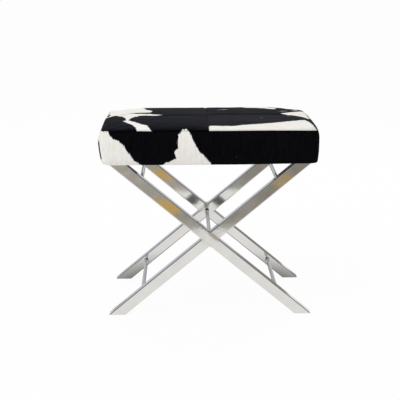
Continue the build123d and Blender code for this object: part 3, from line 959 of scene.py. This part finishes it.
def build_dust_cover():
    """The black cloth under the seat, cut straight and stapled, a little slack between staples."""
    low, high = Vector(CLOTH_LOW), Vector(CLOTH_HIGH)
    nx, ny = CLOTH_POINTS
    x, y = np.meshgrid(np.linspace(low.x, high.x, nx), np.linspace(low.y, high.y, ny))
    from_edge = np.minimum(np.minimum(x - low.x, high.x - x), np.minimum(y - low.y, high.y - y))
    slack = np.clip((from_edge - EDGE_HELD) / EDGE_SLACK, 0, 1)
    for leg in ("front_left", "front_right", "rear_left", "rear_right"):
        a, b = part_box(f"{leg}_mounting_plate")
        gap_x = np.maximum(np.maximum(a[0] - x, x - b[0]), 0)
        gap_y = np.maximum(np.maximum(a[1] - y, y - b[1]), 0)
        from_plate = np.hypot(gap_x, gap_y)
        slack = np.minimum(slack, np.clip((from_plate - PLATE_HELD) / PLATE_SLACK, 0, 1))
    flat = np.stack([x, y, np.zeros_like(x)], -1).reshape(-1, 3)
    uneven = waves(flat, CLOTH_WAVE_SIZE, CLOTH_SEED).reshape(x.shape)
    sag = (CLOTH_SAG + CLOTH_WAVE * uneven) * MM * slack * slack * (3 - 2 * slack)
    points = np.stack([x, y, low.z + CLOTH_LIFT - np.maximum(sag, 0)], -1).reshape(-1, 3)
    faces = [
        (j * nx + i, (j + 1) * nx + i, (j + 1) * nx + i + 1, j * nx + i + 1)
        for j in range(ny - 1)
        for i in range(nx - 1)
    ]
    cloth = new_object("dust_cloth", points, faces)
    thicken(cloth, CLOTH_THICKNESS, 0)
    cloth.data.materials.append(CAD_MATERIALS["dust_cloth"])
    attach(cloth, "root")
    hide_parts("dust_cover")


def notch_rows(direction, half_angle, low_y, high_y):
    """The hollow fillet in one notch between the bars, which opens in a direction, half_angle to
    each side. It follows the round corners of the bars back at the front and the rear."""
    apex = TUBE_HALF / math.sin(half_angle)
    radius = NOTCH_WELD * math.tan(half_angle)
    centre = apex + NOTCH_WELD / math.cos(half_angle)
    sweep = math.pi / 2 - half_angle
    cos, sin = math.cos(direction), math.sin(direction)
    rows = []
    for share in np.linspace(0, 1, NOTCH_ROWS):
        y = low_y + share * (high_y - low_y)
        rounding = max(BAR_CORNER - min(y - low_y, high_y - y), 0)
        back = BAR_CORNER - math.sqrt(max(BAR_CORNER**2 - rounding**2, 0))
        shift = back / math.sin(half_angle)
        loop = [(apex - NOTCH_ROOT - shift, 0)]
        for k in range(NOTCH_STEPS + 1):
            angle = math.pi - sweep + 2 * sweep * k / NOTCH_STEPS
            loop.append((centre - shift + radius * math.cos(angle), radius * math.sin(angle)))
        rows.append([(u * cos - v * sin, y, CROSSING_Z + u * sin + v * cos) for u, v in loop])
    return rows


def strip_rows(whole_side, face_y, out, side):
    """The strip ground flush over one butt joint, which lies along a side of the whole bar."""
    along = Vector((math.cos(LEAN), 0, whole_side * math.sin(LEAN)))
    across = Vector((-along.z, 0, along.x))
    middle = Vector((0, 0, CROSSING_Z))
    half_length = TUBE_HALF / math.sin(2 * LEAN) - STRIP_END
    rows = []
    for share in np.linspace(-1, 1, STRIP_ROWS):
        swell = STRIP_SWELL + STRIP_RIPPLE * math.sin(STRIP_WAVES * share + side)
        loop = []
        for over, lift in STRIP_SECTION:
            point = middle + along * (share * half_length) + across * (side * (TUBE_HALF + over))
            loop.append((point.x, face_y + out * (WELD_SKIN + swell * lift), point.z))
        rows.append(loop)
    return rows


def join_rows(rows, verts, faces):
    """Joins rows of points, each a closed loop, into a tube with flat ends."""
    first, size = len(verts), len(rows[0])
    last = first + (len(rows) - 1) * size
    for loop in rows:
        verts.extend(loop)
    for start in range(first, last, size):
        for i in range(size):
            a, b = start + i, start + (i + 1) % size
            faces.append((a, b, b + size, a + size))
    faces.append(tuple(range(first, first + size))[::-1])
    faces.append(tuple(range(last, last + size)))


def build_welds():
    """Weld metal at the crossing of each X: a hollow fillet in each of its four notches, and a strip
    ground flush over each butt joint, front and back."""
    # The notches open up, down, right and left
    upright, level = math.pi / 2 - LEAN, LEAN
    notches = ((math.pi / 2, upright), (math.pi * 3 / 2, upright), (0, level), (math.pi, level))
    for row, whole_side in (("front", -1), ("rear", 1)):
        low_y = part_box(f"{row}_long_bar")[0][1] + WELD_SKIN
        high_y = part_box(f"{row}_long_bar")[1][1] - WELD_SKIN
        verts, faces = [], []
        for direction, half_angle in notches:
            join_rows(notch_rows(direction, half_angle, low_y, high_y), verts, faces)
        for face_y, out in ((low_y, -1), (high_y, 1)):
            for side in (-1, 1):
                join_rows(strip_rows(whole_side, face_y, out, side), verts, faces)
        weld = new_object(f"{row}_weld", verts, faces)
        edit = bmesh.new()
        edit.from_mesh(weld.data)
        bmesh.ops.recalc_face_normals(edit, faces=edit.faces)
        for edge in edit.edges:
            edge.smooth = edge.calc_face_angle(0) < SHARP
        edit.to_mesh(weld.data)
        edit.free()
        weld.data.materials.append(CAD_MATERIALS["polished_steel"])
        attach(weld, "root")


build_cover()
build_layers()
build_dust_cover()
build_welds()


# The studio: a pale floor, soft light and the camera

FLOOR_HALF, FLOOR_GREY, FLOOR_WHITE = 60.0, (0.86, 0.86, 0.86), (1.0, 1.0, 1.0)
FLOOR_SEEN_WHITE = 0.95
SKY_LIGHT = 0.76
# What the polished steel mirrors, in metres on the floor: a white sweep round the stool, its
# shade behind it, and a grey-brown room beyond the sweep, darker to the right. The shade and each
# amber thing in the room have a place and half lengths, and an amber one its strength.
SWEEP_EDGE = (1.08, 1.22)
SWEEP_COLOUR, SHADE_COLOUR, AMBER = (0.90, 0.90, 0.885), (0.145, 0.14, 0.135), (0.62, 0.41, 0.13)
SHADE, SHADE_EDGE = (0.0, 0.42, 0.45, 0.62), (0.55, 1.05)
LEFT_ROOM = ((0.365, 0.350, 0.305), (0.540, 0.515, 0.460))
RIGHT_ROOM = ((0.230, 0.215, 0.185), (0.335, 0.320, 0.285))
ROOM_TURN = (-0.35, 0.40)
AMBER_SPOTS = (
    (-0.14, -1.45, 0.09, 0.15, 0.95),
    (0.37, -1.95, 0.07, 0.24, 0.45),
    (0.30, 1.65, 0.12, 0.25, 0.6),
    (-1.60, 0.20, 0.30, 0.12, 0.6),
)
AMBER_EDGE = (0.70, 1.05)
# The mirrored sky: a blue-grey horizon, a dark gap above that and a pale ceiling
HORIZON, GAP, CEILING = (0.58, 0.60, 0.645), (0.07, 0.07, 0.08), (0.85, 0.86, 0.88)
GAP_RISE, CEILING_RISE = (0.22, 0.42), (0.72, 0.86)
# Each lamp's place, aim, size and power in watts
LAMPS = {
    "key": ((-1.6, -1.8, 2.6), (0, 0, 0.35), (1.8, 1.8), 28),
    "back": ((0.6, 2.2, 2.4), (0, 0, 0.4), (2.4, 1.2), 20),
}


def mirrored_floor(look):
    """The colour of the floor and the room as the polished steel mirrors them."""
    where = look.coordinates()
    x, y, _ = look.split(where)
    reach = look.add("ShaderNodeVectorMath", (where,), operation="LENGTH").outputs["Value"]
    uneven = look.noise(5.0, 3, 0.55, 0.4, where)

    def from_spot(spot_x, spot_y, half_x, half_y):
        """1 on the edge of an oval on the floor, and less inside it."""
        across = look.math("DIVIDE", look.minus(x, spot_x), half_x)
        deep = look.math("DIVIDE", look.minus(y, spot_y), half_y)
        return look.length(across, deep)

    shade = look.spread(from_spot(*SHADE), *SHADE_EDGE, smooth=True)
    sweep = look.blend(shade, SHADE_COLOUR, SWEEP_COLOUR)
    streaks = look.noise(26, 3, 0.6, 0.3, look.place((1.0, 0.22, 1.0)))
    streaky = look.spread(streaks, 0.35, 0.65)
    left_room, right_room = look.blend(streaky, *LEFT_ROOM), look.blend(streaky, *RIGHT_ROOM)
    room = look.blend(look.spread(x, *ROOM_TURN), left_room, right_room)
    for *spot, strength in AMBER_SPOTS:
        ragged = look.plus(from_spot(*spot), look.vary(uneven, -0.25, 0.25))
        glow = look.spread(ragged, *AMBER_EDGE, strength, 0.0, smooth=True)
        room = look.blend(glow, room, AMBER)
    beyond = look.spread(look.plus(reach, look.vary(uneven, -0.07, 0.07)), *SWEEP_EDGE, smooth=True)
    return look.blend(beyond, sweep, room)


def build_floor():
    """A floor that takes shadows, looks white, and is mirrored as the sweep and the room."""
    look = Material("floor")
    rays = look.add("ShaderNodeLightPath").outputs
    plain = look.add("ShaderNodeBsdfDiffuse", (FLOOR_GREY,)).outputs[0]
    white = look.add("ShaderNodeEmission", (FLOOR_WHITE,)).outputs[0]
    mirrored = look.add("ShaderNodeEmission", (mirrored_floor(look),)).outputs[0]
    seen = look.mix(rays["Is Camera Ray"], plain, look.mix(FLOOR_SEEN_WHITE, plain, white))
    half = FLOOR_HALF
    corners = [(-half, -half, 0), (half, -half, 0), (half, half, 0), (-half, half, 0)]
    floor = new_object("floor", corners, [(0, 1, 2, 3)], smooth=False)
    floor.data.materials.append(look.end(look.mix(rays["Is Glossy Ray"], seen, mirrored)))


def build_sky():
    """Plain white light, seen as white, with a horizon, a gap and a ceiling for what mirrors it."""
    world = bpy.data.worlds.new("studio")
    bpy.context.scene.world = world
    world.use_nodes = True
    sky = Nodes(world.node_tree)
    rays = sky.add("ShaderNodeLightPath").outputs
    height = sky.split(sky.coordinates("Generated"))["Z"]
    mirrored = sky.blend(sky.spread(height, *GAP_RISE, smooth=True), HORIZON, GAP)
    mirrored = sky.blend(sky.spread(height, *CEILING_RISE, smooth=True), mirrored, CEILING)
    light = sky.blend(rays["Is Glossy Ray"], (SKY_LIGHT,) * 3, mirrored)
    plain_view = sky.math("MAXIMUM", rays["Is Camera Ray"], rays["Is Transmission Ray"])
    colour = sky.blend(plain_view, light, (1.0, 1.0, 1.0))
    sky.fill(sky.tree.nodes["Background"].inputs["Color"], colour)


def build_lamps():
    for name, (place, aim, size, power) in LAMPS.items():
        data = bpy.data.lights.new(name, "AREA")
        data.shape = "RECTANGLE"
        data.size, data.size_y = size
        data.energy = power
        lamp = add_object(name, data)
        lamp.location = place
        lamp.rotation_euler = (Vector(aim) - Vector(place)).to_track_quat("-Z", "Y").to_euler()
        lamp.visible_glossy = False


# The photograph's camera, as the corners and feet in it place it
CAMERA_PLACE = (-0.074, -2.831, 0.910)
YAW, PITCH, ROLL = math.radians(-1.03), math.radians(12.64), math.radians(-0.15)
SENSOR_WIDTH = 36
FOCAL_PIXELS, PICTURE_WIDTH = 1036, 400


def build_camera():
    level_x, level_y = -math.sin(YAW), math.cos(YAW)
    forward = Vector((level_x * math.cos(PITCH), level_y * math.cos(PITCH), -math.sin(PITCH)))
    right = Vector((math.cos(YAW), math.sin(YAW), 0))
    up = right.cross(forward)
    right_rolled = right * math.cos(ROLL) + up * math.sin(ROLL)
    up_rolled = up * math.cos(ROLL) - right * math.sin(ROLL)
    data = bpy.data.cameras.new("camera")
    data.sensor_width = SENSOR_WIDTH
    data.lens = SENSOR_WIDTH * FOCAL_PIXELS / PICTURE_WIDTH
    camera = add_object("camera", data)
    axes = Matrix((right_rolled, up_rolled, -forward)).transposed().to_4x4()
    camera.matrix_world = Matrix.Translation(CAMERA_PLACE) @ axes
    bpy.context.scene.camera = camera


build_floor()
build_sky()
build_lamps()
build_camera()
bpy.context.scene.view_settings.view_transform = "Standard"
